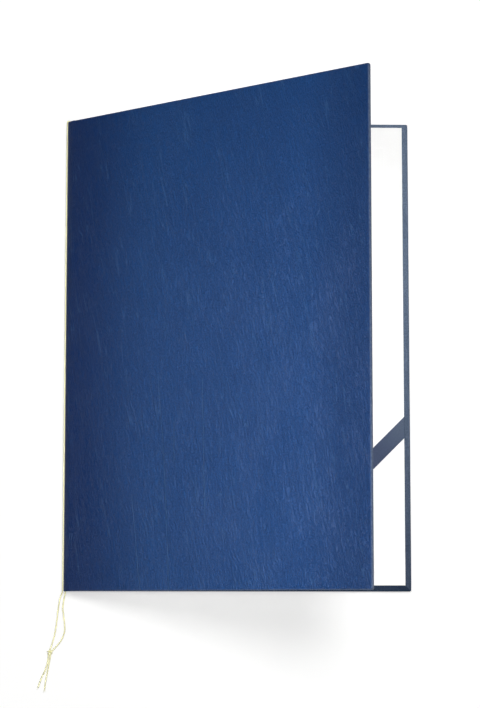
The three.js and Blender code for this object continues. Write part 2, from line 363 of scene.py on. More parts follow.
def yarn_piece(name, routes, radius, ply_depth=PLY_DEPTH, sides=YARN_SIDES):
    """A mesh of yarn that follows the routes, which are lists of points in the frame."""
    mesh = bpy.data.meshes.new(name)
    points = [point for route in routes for point in route]
    edges = []
    first = 0
    for route in routes:
        edges += [(first + step, first + step + 1) for step in range(len(route) - 1)]
        first += len(route)
    mesh.from_pydata(points, edges, [])
    piece = bpy.data.objects.new(name, mesh)
    bpy.context.scene.collection.objects.link(piece)
    modifier = piece.modifiers.new("yarn", "NODES")
    modifier.node_group = plied_yarn
    values = {
        "Radius": radius * MM,
        "Ply depth": ply_depth,
        "Sides": sides,
        "Yarn": yarn_finish.material,
    }
    for item in plied_yarn.interface.items_tree:
        if item.item_type == "SOCKET" and item.name in values:
            modifier[item.identifier] = values[item.name]
    evaluated = piece.evaluated_get(bpy.context.evaluated_depsgraph_get())
    piece.data = bpy.data.meshes.new_from_object(evaluated)
    piece.modifiers.clear()
    return piece


bend_radius = (INNER_RUN_X - OUTER_RUN_X) / 2
bend_centre = (INNER_RUN_X + OUTER_RUN_X) / 2
HEAD_BEND_STEPS = 12
head_bend = [
    (
        bend_centre - bend_radius * math.cos(math.pi * step / HEAD_BEND_STEPS),
        COVER_HEIGHT + bend_radius * math.sin(math.pi * step / HEAD_BEND_STEPS),
        RUN_HEIGHT,
    )
    for step in range(HEAD_BEND_STEPS + 1)
]
run_heights = range(RUN_STEP // 2, COVER_HEIGHT, RUN_STEP)
held_loop = (
    [OUTER_STRAND[0]]
    + [(OUTER_RUN_X, y, RUN_HEIGHT) for y in run_heights]
    + head_bend
    + [(INNER_RUN_X, y, RUN_HEIGHT) for y in reversed(run_heights)]
    + [INNER_STRAND[0]]
)
held_route = [from_fold(point) for point in smooth_route(held_loop, RING_SPACING)]
outer_route = [from_fold(point) for point in smooth_route(OUTER_STRAND, RING_SPACING)]
inner_route = [from_fold(point) for point in smooth_route(INNER_STRAND, RING_SPACING)]

cord_run = yarn_piece("cord_run", [held_route], CORD_DIAMETER / 2)
outer_cord = yarn_piece("cord_outer_strand", [outer_route], CORD_DIAMETER / 2)
inner_cord = yarn_piece("cord_inner_strand", [inner_route], CORD_DIAMETER / 2)

# The knot: the cord goes one and three quarter times round both strands and tucks in
KNOT_TURNS = 1.75
KNOT_STEPS = 60
KNOT_HALF_WIDTH = 1.3
KNOT_HALF_HEIGHT = 0.78
KNOT_PITCH = 1.15
KNOT_YARN_RADIUS = 0.42
KNOT_BULGE = 0.5
KNOT_SLACK = 1.3
KNOT_TUCK = 4
knot_way = Vector((-0.2, -0.98, 0)).normalized()
knot_across = Vector((-knot_way.y, knot_way.x, 0))
knot_points = []
for step in range(KNOT_STEPS + 1):
    share = step / KNOT_STEPS
    angle = 2 * math.pi * KNOT_TURNS * share
    tuck = math.sqrt(min(1, KNOT_TUCK * share, KNOT_TUCK * (1 - share)))
    bulge = 1 + KNOT_BULGE * max(0, -math.cos(angle)) * math.sin(math.pi * share)
    knot_points.append(
        Vector(KNOT_CENTRE)
        + knot_way * (KNOT_PITCH * KNOT_TURNS * (share - 0.5) * KNOT_SLACK)
        + knot_across * (KNOT_HALF_WIDTH * math.cos(angle) * tuck * bulge)
        + Vector((0, 0, KNOT_HALF_HEIGHT * math.sin(angle) * tuck))
    )
knot_route = [from_fold(point) for point in knot_points]
knot = yarn_piece("cord_knot", [knot_route], KNOT_YARN_RADIUS)

# The tips have come apart into fine filaments
TIP_FILAMENTS = 9
TIP_REACH = 2.6
TIP_SPREAD = 0.45
TIP_STEPS = 6
TIP_OVERLAP = 0.5
TIP_ROOT_SPREAD = 0.22
TIP_SHORTEST = 0.45
TIP_FLATNESS = 0.6
TIP_LOWEST = 0.08
TIP_RADIUS = 0.06
TIP_SIDES = 5
tip_random = random.Random(11)
tip_routes = []
for route in (OUTER_STRAND, INNER_STRAND):
    end = Vector(route[-1])
    way = (end - Vector(route[-2])).normalized()
    for _ in range(TIP_FILAMENTS):
        drift = Vector([tip_random.uniform(-most, most) for most in (1, 1, TIP_FLATNESS)])
        start = end - way * TIP_OVERLAP + drift * TIP_ROOT_SPREAD
        reach = TIP_REACH * tip_random.uniform(TIP_SHORTEST, 1)
        filament_points = []
        for step in range(TIP_STEPS + 1):
            share = step / TIP_STEPS
            point = start + way * reach * share + drift * (TIP_SPREAD * share**2 * reach / 2)
            point.z = max(point.z, TIP_LOWEST)
            filament_points.append(from_fold(point))
        tip_routes.append(filament_points)
cord_tips = yarn_piece("cord_tips", tip_routes, TIP_RADIUS, ply_depth=0, sides=TIP_SIDES)

for piece in (cord_run, outer_cord, inner_cord, knot, cord_tips):
    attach(piece, "back_cover")
    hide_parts("cord")
from_fold((-0.75, 0, 2.65))
from_fold((1.15, 0, 2.55))

# The leatherette round the boards
# One sheet of blue imitation leather is glued over both boards and the fold. Its edges are
# turned in over the head, the foot and the fore-edges, and mitred at the corners.
# A cover's own frame: the hinge axis is the origin line and the outer face is underneath.
FOLD_DEPTH = 2.8
CLOSED_HALF = 3.2
OPENING = math.radians(33)
HALF_HEIGHT = COVER_HEIGHT / 2
FORE_EDGE = COVER_WIDTH - FOLD_DEPTH
HINGE_GROOVE = 4.2
OUTER_FACE = -CLOSED_HALF
TURN_IN_TOP = -0.54
SHEET_THICKNESS = 0.3
WRAP_RADIUS = 0.9
CORNER_RADIUS = 1.2
CORNER_REACH = 1.5
CORNER_STEPS = 6
ROUND_STEPS = 5
TURN_IN = 15
SPINE_WALL_START = 4.65
GRID_SPACING = 4
TURN_IN_SPACING = 1.6
CORNER_GRID_REACH = 7
GATHERED_REACH = 4.5
PLEATS = 11
PLEAT_LEAN = 1.3
PLEAT_HEIGHT = 0.13
PLEAT_REACH = 5
MITRE_DEPTH = 0.12
MITRE_WIDTH = 0.35
LINING_CLEARANCE = 3.4
LINING_CLEARANCE_FADE = 1.2
MERGE_DISTANCE = 0.002
LEAST_EDGE = 0.001
CLEAR_OF_TOP = 0.01
HINGE_AXIS = Vector((FOLD_DEPTH - COVER_WIDTH / 2, 0, CLOSED_HALF))


def on_back(point):
    """A point of a cover's own frame, on the back cover, in metres."""
    return (HINGE_AXIS + Vector(point)) * MM


def on_front(point):
    """The same point on the front cover: turned over, and opened round the hinge axis."""
    x, y, z = point
    ajar = Vector(
        (
            x * math.cos(OPENING) + z * math.sin(OPENING),
            -y,
            x * math.sin(OPENING) - z * math.cos(OPENING),
        )
    )
    return (HINGE_AXIS + ajar) * MM


def stations(low, high, spacing, fine_low=0, fine_high=0, fine_spacing=0.5):
    """Places from low to high, closer together over a stretch at either end."""
    places = [low]
    stretches = [
        (low + fine_low, fine_spacing),
        (high - fine_high, spacing),
        (high, fine_spacing),
    ]
    for end, step in stretches:
        start = places[-1]
        if end - start > 1e-6:
            count = max(1, round((end - start) / step))
            places += [start + (end - start) * (k + 1) / count for k in range(count)]
    return places


class Sheet:
    """Patches of a thin sheet, each a grid of points with its place on the flat sheet."""

    def __init__(self):
        self.points = []
        self.flat = []
        self.edge_sheen = []
        self.faces = []

    def patch(self, rows):
        """Each row holds (point, (u, v), wrapped-edge nearness for a painted highlight). Faces look along
        rows cross columns.
        """
        first = len(self.points)
        width = len(rows[0])
        for row in rows:
            for point, flat, edge_sheen in row:
                self.points.append(point)
                self.flat.append(flat)
                self.edge_sheen.append(edge_sheen)
        for r in range(len(rows) - 1):
            for c in range(width - 1):
                a = first + r * width + c
                self.faces.append((a, a + width, a + width + 1, a + 1))

    def piece(self, name, finish, thickness=0.0, sharp=40):
        """The patches joined in one mesh, with the sheet's thickness behind them."""
        mesh = bpy.data.meshes.new(name)
        mesh.from_pydata(self.points, [], self.faces)
        flat_map = mesh.uv_layers.new(name="flat_sheet")
        for loop in mesh.loops:
            flat_map.data[loop.index].uv = self.flat[loop.vertex_index]
        edge_sheen = mesh.attributes.new("edge_sheen", "FLOAT", "POINT")
        edge_sheen.data.foreach_set("value", self.edge_sheen)
        form = bmesh.new()
        form.from_mesh(mesh)
        bmesh.ops.remove_doubles(form, verts=form.verts, dist=MERGE_DISTANCE * MM)
        bmesh.ops.dissolve_degenerate(form, edges=form.edges, dist=LEAST_EDGE * MM)
        form.to_mesh(mesh)
        form.free()
        mesh.materials.append(finish.material)
        piece = bpy.data.objects.new(name, mesh)
        bpy.context.scene.collection.objects.link(piece)
        if thickness:
            solid = piece.modifiers.new("thickness", "SOLIDIFY")
            solid.thickness = thickness * MM
            solid.offset = -1
            solid.use_even_offset = True
            evaluated = piece.evaluated_get(bpy.context.evaluated_depsgraph_get())
            piece.data = bpy.data.meshes.new_from_object(evaluated)
            piece.modifiers.clear()
        piece.data.shade_smooth()
        piece.data.set_sharp_from_angle(angle=math.radians(sharp))
        return piece


def wrap_profile():
    """The way over a wrapped edge: distance inside the edge, height, and length of sheet used."""
    profile = [(CORNER_REACH, OUTER_FACE)]
    for step in range(ROUND_STEPS + 1):
        angle = math.pi / 2 * step / ROUND_STEPS
        inset, rise = WRAP_RADIUS * (1 - math.sin(angle)), WRAP_RADIUS * (1 - math.cos(angle))
        profile.append((inset, OUTER_FACE + rise))
    for step in range(ROUND_STEPS + 1):
        angle = math.pi / 2 * step / ROUND_STEPS
        inset, drop = WRAP_RADIUS * (1 - math.cos(angle)), WRAP_RADIUS * (1 - math.sin(angle))
        profile.append((inset, TURN_IN_TOP - drop))
    for inset in stations(CORNER_REACH, TURN_IN, TURN_IN_SPACING, fine_low=GATHERED_REACH):
        profile.append((inset, TURN_IN_TOP))
    used = [0.0]
    for (inset, height), (next_inset, next_height) in zip(profile, profile[1:]):
        used.append(used[-1] + math.hypot(next_inset - inset, next_height - height))
    return [(inset, height, length) for (inset, height), length in zip(profile, used)]


def gathered(x, y, height):
    """Lifts the turn-in a little at the corners, where the sheet is pleated and mitred."""
    if height < TURN_IN_TOP - CLEAR_OF_TOP:
        return 0
    across, up = FORE_EDGE - x, HALF_HEIGHT - abs(y)
    reach = math.hypot(across, up)
    angle = math.atan2(up, across)
    pleats = 0.5 + 0.5 * math.cos(PLEATS * angle + PLEAT_LEAN * reach)
    pleats = pleats * math.exp(-((reach / PLEAT_REACH) ** 2))
    mitre = math.exp(-(((across - up) / MITRE_WIDTH) ** 2))
    clear = min(1, max(0, (LINING_CLEARANCE - min(across, up)) / LINING_CLEARANCE_FADE))
    return clear * (PLEAT_HEIGHT * pleats - MITRE_DEPTH * mitre)


def covering(name, place, flat_from, finish):
    """The leatherette on one cover. flat_from says where a point lies on the flat sheet."""
    near = CORNER_GRID_REACH
    xs = stations(HINGE_GROOVE, FORE_EDGE - CORNER_REACH, GRID_SPACING, fine_high=near)
    ys = stations(CORNER_REACH - HALF_HEIGHT, HALF_HEIGHT - CORNER_REACH, GRID_SPACING, near, near)
    sheet = Sheet()

    def spot(x, y, z, flat_x, flat_y, edge_sheen):
        return place((x, y, z)), flat_from(flat_x, flat_y), edge_sheen

    sheet.patch([[spot(x, y, OUTER_FACE, x, y, 0) for x in xs] for y in ys])

    rows = []
    for inset, height, used in wrap_profile():
        # Nearness to the wrapped edge, where the leatherette's colour carries a painted highlight
        edge_sheen = max(0, 1 - inset / CORNER_REACH)
        start = SPINE_WALL_START if height > TURN_IN_TOP - CLEAR_OF_TOP else HINGE_GROOVE
        edge_x, edge_y = FORE_EDGE - inset, HALF_HEIGHT - inset
        flat_edge_x = FORE_EDGE - CORNER_REACH + used
        flat_edge_y = HALF_HEIGHT - CORNER_REACH + used
        row = []

        def add(x, y, flat_x, flat_y):
            row.append(spot(x, y, height + gathered(x, y, height), flat_x, flat_y, edge_sheen))

        for x in xs:
            add(min(max(x, start), edge_x), edge_y, x, flat_edge_y)
        for side in (1, -1):
            for step in range(CORNER_STEPS + 1):
                angle = math.pi / 2 * step / CORNER_STEPS
                across, up = math.sin(angle), math.cos(angle)
                if side < 0:
                    across, up = up, across
                radius = max(0, CORNER_RADIUS - inset)
                centre = max(CORNER_RADIUS, inset)
                add(
                    FORE_EDGE - centre + radius * across,
                    side * (HALF_HEIGHT - centre + radius * up),
                    FORE_EDGE - CORNER_REACH + used * across,
                    side * (HALF_HEIGHT - CORNER_REACH + used * up),
                )
            if side > 0:
                for y in reversed(ys):
                    add(edge_x, min(max(y, -edge_y), edge_y), flat_edge_x, y)
        for x in reversed(xs):
            add(min(max(x, start), edge_x), -edge_y, x, -flat_edge_y)
        rows.append(row)
    sheet.patch(rows)
    return sheet.piece(name, finish, SHEET_THICKNESS)


# The leatherette's finish: deep blue with fine leaning veins, pebbles between them and a few long
# handling creases. Its colour carries painted shade near the fold and towards the fore-edge, a
# painted highlight on each crease's lit side and painted shade on the other, a painted highlight on
# the turn-ins that fades towards the foot, painted shade on the foot's turn-in, and a paler painted
# highlight along the wrapped edges
leatherette = Finish("leatherette", {"Specular IOR Level": 0.06})
sheet_place = leatherette.node("ShaderNodeUVMap", {"uv_map": "flat_sheet"}, {})
VEIN_LEAN = math.radians(-12)
VEIN_SIZE = (1.3 * MM, 7 * MM, 1)
PEBBLE_SIZE = (1.0 * MM, 2.0 * MM, 1)
GRAIN_SIZE = (0.7 * MM, 1.1 * MM, 1)
CLOUD_SIZE = (45 * MM, 60 * MM, 1)
ROUGH_PATCH_SIZE = (26 * MM, 40 * MM, 1)
CREASED_PATCH_SIZE = (14 * MM, 50 * MM, 1)
CREASE_SIZE = (3.6 * MM, 60 * MM, 1)
WOBBLE_SIZE = (6 * MM, 9 * MM, 1)
WOBBLE_REACH = 0.0012
DEEP_BLUE = (0.0014, 0.019, 0.090, 1)
CLEAR_BLUE = (0.0115, 0.067, 0.226, 1)
FOLD_PAINTED_SHADE = (0.0004, 0.0115, 0.074, 1)
FORE_EDGE_PAINTED_SHADE = (0.0008, 0.012, 0.055, 1)
CREASE_HIGHLIGHT_BLUE = (0.07, 0.17, 0.36, 1)
CREASE_SHADE_BLUE = (0.0006, 0.010, 0.05, 1)
TURN_IN_SHEEN_AT_HEAD = (0.15, 0.205, 0.30, 1)
TURN_IN_SHEEN_AT_FOOT = (0.05, 0.07, 0.115, 1)
FOOT_TURN_IN_PAINTED_SHADE = (0.018, 0.034, 0.068, 1)
TURN_IN_GRAIN_SPECK = (0.012, 0.024, 0.05, 1)
EDGE_HIGHLIGHT_BLUE = (0.15, 0.19, 0.26, 1)
FOLD_SHADE = (0.004, 0.075)
FORE_EDGE_SHADE = (0.175, 0.218)
FOOT_SHADE = (-0.19, 0.10)
LEATHER_RELIEF = 0.00045
FOLD_FLAT_LENGTH = 14.1
FLAT_MIDDLE = FOLD_FLAT_LENGTH / 2 - HINGE_GROOVE
TURN_IN_LOW = 1.2
TURN_IN_START = FORE_EDGE + FLAT_MIDDLE + TURN_IN_LOW
LONG_CREASE_WIDTH = 0.24
LONG_CREASE_FADE = 2
SHORT_CREASE_WIDTH = 0.018
SHORT_CREASE_LIGHT = 0.36
SHORT_CREASE_SHADE = 0.3
LONG_CREASE_LIGHT = 1.8
LONG_CREASE_SHADE = 0.5
VEIN_WIDTH = 0.09
FOLD_DARKENING = 0.72
FORE_EDGE_DARKENING = 0.42
CREASE_BRIGHTENING = 0.6
CREASE_DARKENING = 0.55
SPECK_DARKENING = 0.45
SKIN_ROUGHNESS = 0.35

# Stretches of long creases on the front cover: x from the hinge and y, at the upper and lower end
LONG_CREASES = [
    ((72.5, -20), (77, -66)),
    ((77, -66), (82, -160)),
    ((106, -25), (108, -111)),
    ((85, -50), (85, -75)),
    ((53, -95), (60, -160)),
]


def leather_noise(size, detail, distortion=0.0):
    place = leatherette.node(
        "ShaderNodeMapping",
        {"vector_type": "TEXTURE"},
        {"Vector": sheet_place, "Rotation": (0, 0, VEIN_LEAN), "Scale": size},
    )
    return leatherette.node(
        "ShaderNodeTexNoise",
        {},
        {"Vector": place, "Scale": 1.0, "Detail": detail, "Distortion": distortion},
    )


sheet_u = leatherette.axis(sheet_place, 0)
sheet_v = leatherette.axis(sheet_place, 1)
veins = leather_noise(VEIN_SIZE, 3.0, 0.6)
vein_lines = 1 - abs(veins - 0.5).between(0.0, VEIN_WIDTH)
pebbles = leather_noise(PEBBLE_SIZE, 2.0)
grains = leather_noise(GRAIN_SIZE, 1.0).between(0.25, 0.75)
clouds = leather_noise(CLOUD_SIZE, 2.0)
rough_patches = leather_noise(ROUGH_PATCH_SIZE, 1.0).between(0.35, 0.65)
creased_patches = leather_noise(CREASED_PATCH_SIZE, 1.0).between(0.40, 0.60)
crease_field = leather_noise(CREASE_SIZE, 1.0, 0.2)
wobble = leather_noise(WOBBLE_SIZE, 2.0)


def line_sides(offset, width):
    """The lit and the shaded side of a crease, from the offset across it."""
    lit = 1 - abs(offset - width).between(0.0, width)
    dark = 1 - abs(offset + width).between(0.0, width)
    return lit, dark


lit_side, shaded_side = line_sides(crease_field - 0.5, SHORT_CREASE_WIDTH)
lit_side = lit_side * creased_patches * SHORT_CREASE_LIGHT
shaded_side = shaded_side * creased_patches * SHORT_CREASE_SHADE
for (x0, y0), (x1, y1) in LONG_CREASES:
    lean = (x0 - x1) / (y1 - y0)
    line_u = (2 * HINGE_GROOVE - FOLD_FLAT_LENGTH - x0 - y0 * lean) * MM
    offset = sheet_u - line_u - sheet_v * lean + (wobble - 0.5) * WOBBLE_REACH
    lower = sheet_v.between((y1 - LONG_CREASE_FADE) * MM, (y1 + LONG_CREASE_FADE) * MM)
    upper = 1 - sheet_v.between((y0 - LONG_CREASE_FADE) * MM, (y0 + LONG_CREASE_FADE) * MM)
    lit, dark = line_sides(offset, LONG_CREASE_WIDTH * MM)
    lit_side = lit_side + lit * lower * upper * LONG_CREASE_LIGHT
    shaded_side = shaded_side + dark * lower * upper * LONG_CREASE_SHADE

edge_sheen = leatherette.attribute("edge_sheen")
tone = veins * 0.25 + pebbles * 0.45 + grains * 0.5 + clouds * 0.2 - vein_lines * 0.12
skin = leatherette.mix(DEEP_BLUE, CLEAR_BLUE, tone)
fold_distance = abs(sheet_u + FLAT_MIDDLE * MM)
near_fold = 1 - fold_distance.between(*FOLD_SHADE)
near_edge = fold_distance.between(*FORE_EDGE_SHADE)
# Painted shade: the sheet is darkened near the fold
skin = leatherette.mix(skin, FOLD_PAINTED_SHADE, near_fold * FOLD_DARKENING)
# Painted shade: the sheet is darkened towards the fore-edge
skin = leatherette.mix(skin, FORE_EDGE_PAINTED_SHADE, near_edge * FORE_EDGE_DARKENING)
# A painted highlight on each crease's lit side and painted shade on its other side
skin = leatherette.mix(skin, CREASE_HIGHLIGHT_BLUE, lit_side * CREASE_BRIGHTENING)
skin = leatherette.mix(skin, CREASE_SHADE_BLUE, shaded_side * CREASE_DARKENING)
toward_foot = 1 - sheet_v.between(*FOOT_SHADE)
head_turn = HALF_HEIGHT + TURN_IN_LOW
at_foot = 1 - sheet_v.between(-(head_turn + 1) * MM, -head_turn * MM)
# The turn-ins are painted a paler grey-blue: a painted highlight, brightest at the head and fading
# towards the foot, with darker grain specks mixed in
turn_in_sheen = leatherette.mix(TURN_IN_SHEEN_AT_HEAD, TURN_IN_SHEEN_AT_FOOT, toward_foot)
# Painted shade on the foot's turn-in
turn_in_sheen = leatherette.mix(turn_in_sheen, FOOT_TURN_IN_PAINTED_SHADE, at_foot)
turn_in_sheen = leatherette.mix(turn_in_sheen, TURN_IN_GRAIN_SPECK, SPECK_DARKENING - grains * SPECK_DARKENING)
edge_side = fold_distance.between(TURN_IN_START * MM, (TURN_IN_START + TURN_IN_LOW) * MM)
head_side = sheet_v.between(head_turn * MM, (head_turn + TURN_IN_LOW) * MM)
turned_in = edge_side.higher(head_side).higher(at_foot)
skin = leatherette.mix(skin, turn_in_sheen, turned_in)
# A paler painted highlight along the wrapped edges, with the pebbles showing through; the turn-ins are
# left out
edge_highlight = edge_sheen.between(0.2, 1.0) * (pebbles.between(0.35, 0.7) * 0.35 + 0.4) * (1 - turned_in)
leatherette.feed("Base Color", leatherette.mix(skin, EDGE_HIGHLIGHT_BLUE, edge_highlight))
leatherette.feed("Roughness", SKIN_ROUGHNESS - veins * 0.06 + rough_patches * 0.04)
grain = veins * 0.45 - vein_lines * 0.4 + (pebbles * 0.5 + grains * 0.4) * (rough_patches * 0.6 + 0.4)
leatherette.raise_by(grain + lit_side * 0.6 - shaded_side * 0.4, LEATHER_RELIEF)


def flat_back(x, y):
    return x * MM, y * MM


def flat_front(x, y):
    return (2 * HINGE_GROOVE - FOLD_FLAT_LENGTH - x) * MM, -y * MM


back_leatherette = covering("back_leatherette", on_back, flat_back, leatherette)
front_leatherette = covering("front_leatherette", on_front, flat_front, leatherette)
for piece, body, node in (
    (back_leatherette, "back_cover", "back_covering"),
    (front_leatherette, "front_cover", "front_covering"),
):
    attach(piece, body)
    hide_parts(node)

# The fold
# Between the boards the sheet runs free round the hinge, with a second layer glued inside it.
# It is soft here; it is built in the shape it takes at this opening.
FOLD_APEX = (-FOLD_DEPTH, -0.5)
LOWER_FLAT = 1.6
APEX_FLAT_BELOW = 1.4
APEX_FLAT_ABOVE = 1.7
FRONT_FLAT = 2.4
FOLD_THICKNESS = 0.63
GLUED_STEP = 1.4
BEND_STEPS = 14


def opened(x, z):
    """A place in the section of the closed front cover, carried to where it stands ajar."""
    sine, cosine = math.sin(OPENING), math.cos(OPENING)
    return x * cosine + z * sine, x * sine - z * cosine


def bezier(a, b, c, d, steps):
    line = []
    for step in range(steps + 1):
        t = step / steps
        weights = ((1 - t) ** 3, 3 * t * (1 - t) ** 2, 3 * t * t * (1 - t), t**3)
        line.append(sum((w * Vector(p) for w, p in zip(weights, (a, b, c, d))), Vector((0, 0))))
    return line


def offset_line(line, depth):
    """The line moved towards its right-hand side."""
    moved = []
    for k, point in enumerate(line):
        before = (point - line[max(k - 1, 0)]).normalized()
        after = (line[min(k + 1, len(line) - 1)] - point).normalized()
        along = (before + after).normalized()
        moved.append(point + Vector((along.y, -along.x)) * depth)
    return moved


fold_line = [Vector((HINGE_GROOVE - GLUED_STEP * k, OUTER_FACE)) for k in range(3)]
fold_line += bezier(
    (0, OUTER_FACE),
    (-LOWER_FLAT, OUTER_FACE),
    (-FOLD_DEPTH, FOLD_APEX[1] - APEX_FLAT_BELOW),
    FOLD_APEX,
    BEND_STEPS,
)
fold_line += bezier(
    FOLD_APEX,
    (-FOLD_DEPTH, FOLD_APEX[1] + APEX_FLAT_ABOVE),
    opened(HINGE_GROOVE - FRONT_FLAT, OUTER_FACE),
    opened(HINGE_GROOVE, OUTER_FACE),
    BEND_STEPS,
)[1:]
fold_used = [0.0]
for here, there in zip(fold_line, fold_line[1:]):
    fold_used.append(fold_used[-1] + (there - here).length)


def band_piece(name, sections, finish):
    """A closed band: sections are (y, outer line, inner line), each line with its flat place."""
    sheet = Sheet()

    def spot(y, place, u):
        return (HINGE_AXIS + Vector((place.x, y, place.y))) * MM, (u * MM, y * MM), 0.0

    def row(section):
        y, outer, inner = section
        loop = outer + inner[::-1] + outer[:1]
        return [spot(y, place, u) for place, u in loop]

    sheet.patch([row(section) for section in sections])
    for section, outward in ((sections[0], False), (sections[-1], True)):
        y, outer, inner = section
        lines = [outer, inner] if outward else [inner, outer]
        sheet.patch([[spot(y, place, u) for place, u in line] for line in lines])
    return sheet.piece(name, finish)


END_ROUNDING = [(0.0, 0.22), (0.04, 0.12), (0.12, 0.04), (0.25, 0.0)]
FULL_FROM = 0.5
fold_sections = []
fold_ys = [(HALF_HEIGHT - inside, shrink) for inside, shrink in END_ROUNDING]
full_ys = stations(FULL_FROM - HALF_HEIGHT, HALF_HEIGHT - FULL_FROM, GRID_SPACING)
fold_ys += [(y, 0.0) for y in reversed(full_ys)]
fold_ys += [(inside - HALF_HEIGHT, shrink) for inside, shrink in END_ROUNDING[::-1]]
for y, shrink in fold_ys:
    outer = offset_line(fold_line, shrink)
    inner = offset_line(fold_line, FOLD_THICKNESS - shrink)
    fold_sections.append(
        (
            y,
            [(place, HINGE_GROOVE - used) for place, used in zip(outer, fold_used)],
            [(place, HINGE_GROOVE - used) for place, used in zip(inner, fold_used)],
        )
    )
fold_leatherette = band_piece("fold_leatherette", fold_sections, leatherette)
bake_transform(fold_leatherette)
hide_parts("fold_covering", "hinge_strip")

# The hinge strips
# Inside the fold the leatherette climbs over each board's spine edge: the turned-in sheet at the
# head and the foot, and between them a strip that reaches under the linings.
STRIP_REACH = 12
STRIP_FOOT = -2.55
STRIP_BEND = 0.6
STRIP_CLEARANCE = 0.03
STRIP_END = HALF_HEIGHT - TURN_IN - STRIP_CLEARANCE
BOARD_SHRINK = 0.33
STRIP_FIRST_STATION = 3


def strip_section(reach, top_limit):
    """The strip's section: its visible skin and its glued side, from the board down to the fold."""
    skins = []
    for depth in (0.0, SHEET_THICKNESS):
        bend = STRIP_BEND - depth
        centre = (HINGE_GROOVE - BOARD_SHRINK + STRIP_BEND, TURN_IN_TOP - STRIP_BEND)
        line = [(HINGE_GROOVE + reach, TURN_IN_TOP - depth)]
        for step in range(ROUND_STEPS + 1):
            angle = math.pi / 2 * (1 + step / ROUND_STEPS)
            line.append((centre[0] + bend * math.cos(angle), centre[1] + bend * math.sin(angle)))
        line.append((centre[0] - bend, STRIP_FOOT))
        skins.append([(Vector((x, min(z, top_limit - depth))), x - z) for x, z in line])
    return skins


def hinge_strip(name, place, finish):
    sheet = Sheet()
    middle = [(y, TURN_IN_TOP) for y in stations(-STRIP_END, STRIP_END, GRID_SPACING)]
    parts = [(STRIP_REACH, middle)]
    for side in (1, -1):
        spots = [(side * (STRIP_END + STRIP_CLEARANCE), TURN_IN_TOP)]
        first, last = STRIP_END + STRIP_FIRST_STATION, HALF_HEIGHT - WRAP_RADIUS
        spots += [(side * y, TURN_IN_TOP) for y in stations(first, last, GRID_SPACING)]
        for step in range(1, ROUND_STEPS + 1):
            angle = math.pi / 2 * step / ROUND_STEPS
            spots.append(
                (
                    side * (HALF_HEIGHT - WRAP_RADIUS * (1 - math.sin(angle))),
                    TURN_IN_TOP - WRAP_RADIUS * (1 - math.cos(angle)),
                )
            )
        parts.append((SPINE_WALL_START - HINGE_GROOVE, spots if side > 0 else spots[::-1]))
    for reach, spots in parts:
        sections = []
        for y, top in spots:
            skin, glued = strip_section(reach, top)
            loop = skin + glued[::-1] + skin[:1]
            sections.append([(place((p.x, y, p.y)), (u * MM, y * MM), 0.0) for p, u in loop])
        sheet.patch(sections)
        half = len(sections[0]) // 2
        for section, outward in ((sections[0], False), (sections[-1], True)):
            skin, glued = section[:half], section[half:-1][::-1]
            sheet.patch([skin, glued] if outward else [glued, skin])
    return sheet.piece(name, finish)


back_strip = hinge_strip("back_hinge_strip", on_back, leatherette)
front_strip = hinge_strip("front_hinge_strip", on_front, leatherette)
for piece, body in ((back_strip, "back_cover"), (front_strip, "front_cover")):
    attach(piece, body)
    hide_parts("hinge_strip")

# The linings
# A sheet of white satin-finished paper covers the inside of each board, glued over the turned-in
# leatherette and pressed down inside its frame. It leaves a blue margin at the edges.
LINING_THICKNESS = 0.2
LINING_TOP = -0.31
LINING_HEAD_MARGIN = 2.5
LINING_FOOT_MARGIN = 4
LINING_FORE_EDGE_MARGIN = 4
LINING_SPINE_MARGIN = 3
PRESSED_STEP = 2
PRESSED_DEPTH = 0.3
PRESSED_SPACING = 0.4
RIM_SPACING = 3
LINING_SPACING = 5
PAPER_SHADE = (0.91, 0.907, 0.898, 1)
PAPER_WHITE = (0.955, 0.955, 0.95, 1)
PAPER_RELIEF = 0.00003

paper = Finish("lining_paper", {"Specular IOR Level": 0.4})
paper_place = paper.node("ShaderNodeUVMap", {"uv_map": "flat_sheet"}, {})
paper_fibres = paper.node(
    "ShaderNodeTexNoise", {}, {"Vector": paper_place, "Scale": 1400.0, "Detail": 4.0, "Roughness": 0.7}
)
paper_clouds = paper.node("ShaderNodeTexNoise", {}, {"Vector": paper_place, "Scale": 45.0, "Detail": 3.0})
paper_tone = paper_fibres * 0.5 + paper_clouds * 0.5
paper_white = paper.mix(PAPER_SHADE, PAPER_WHITE, paper_tone.between(0.3, 0.7))
paper.feed("Base Color", paper_white)
paper.feed("Roughness", 0.62 + paper_fibres * 0.15)
paper.raise_by(paper_fibres, PAPER_RELIEF)


